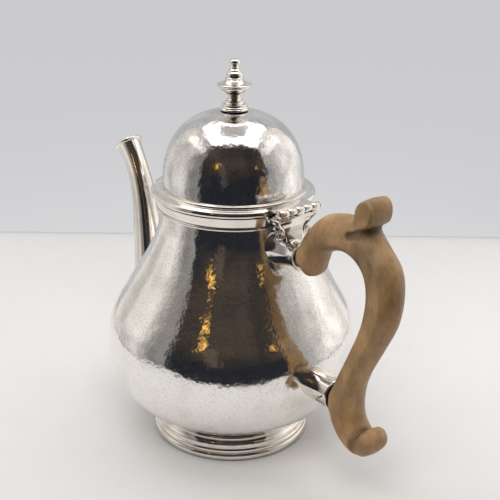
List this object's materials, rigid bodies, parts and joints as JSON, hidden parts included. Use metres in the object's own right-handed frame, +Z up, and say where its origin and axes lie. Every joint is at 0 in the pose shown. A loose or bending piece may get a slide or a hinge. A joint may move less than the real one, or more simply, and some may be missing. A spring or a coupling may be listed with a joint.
{
  "type": "coffee pot",
  "caption": "Pear-shaped hammered metal coffee pot with a hinged domed lid, turned finial, curved spout and a scrolled wooden handle in two sockets.",
  "frame": {"origin": "on the table, under the middle of the pot measured from the spout's mouth to the back of the handle", "axes": "+Z up, +X towards the handle, -X towards the spout; the pot mirrors across Y = 0; the body's own axis is at X = -5.58 mm"},
  "size_m": [0.2144, 0.128, 0.1972],
  "materials": {
    "silver_hammered": "planished (lightly hammered) and polished silver",
    "silver_polished": "smooth polished silver",
    "fruitwood": "satin fruitwood"
  },
  "bodies": {
    "pot": {"body_shell": "silver_hammered", "foot_ring": "silver_polished", "rim_moulding": "silver_polished", "spout": "silver_polished", "spout_lip": "silver_polished", "upper_socket": "silver_polished", "lower_socket": "silver_polished", "upper_socket_pin": "silver_polished", "lower_socket_pin": "silver_polished", "hinge_bracket": "silver_polished", "bracket_scroll": "silver_polished", "hinge_leaf_body": "silver_polished", "hinge_pin": "silver_polished", "handle": "fruitwood"},
    "lid": {"lid_dome": "silver_hammered", "lid_flange": "silver_polished", "finial": "silver_polished", "hinge_leaf_lid": "silver_polished"}
  },
  "joints": [
    {"name": "lid_hinge", "type": "hinge", "parent": "pot", "child": "lid", "pos_m": [0.04292, 0, 0.1346], "axis": [0, 1, 0], "range_deg": [0, 96]}
  ]
}
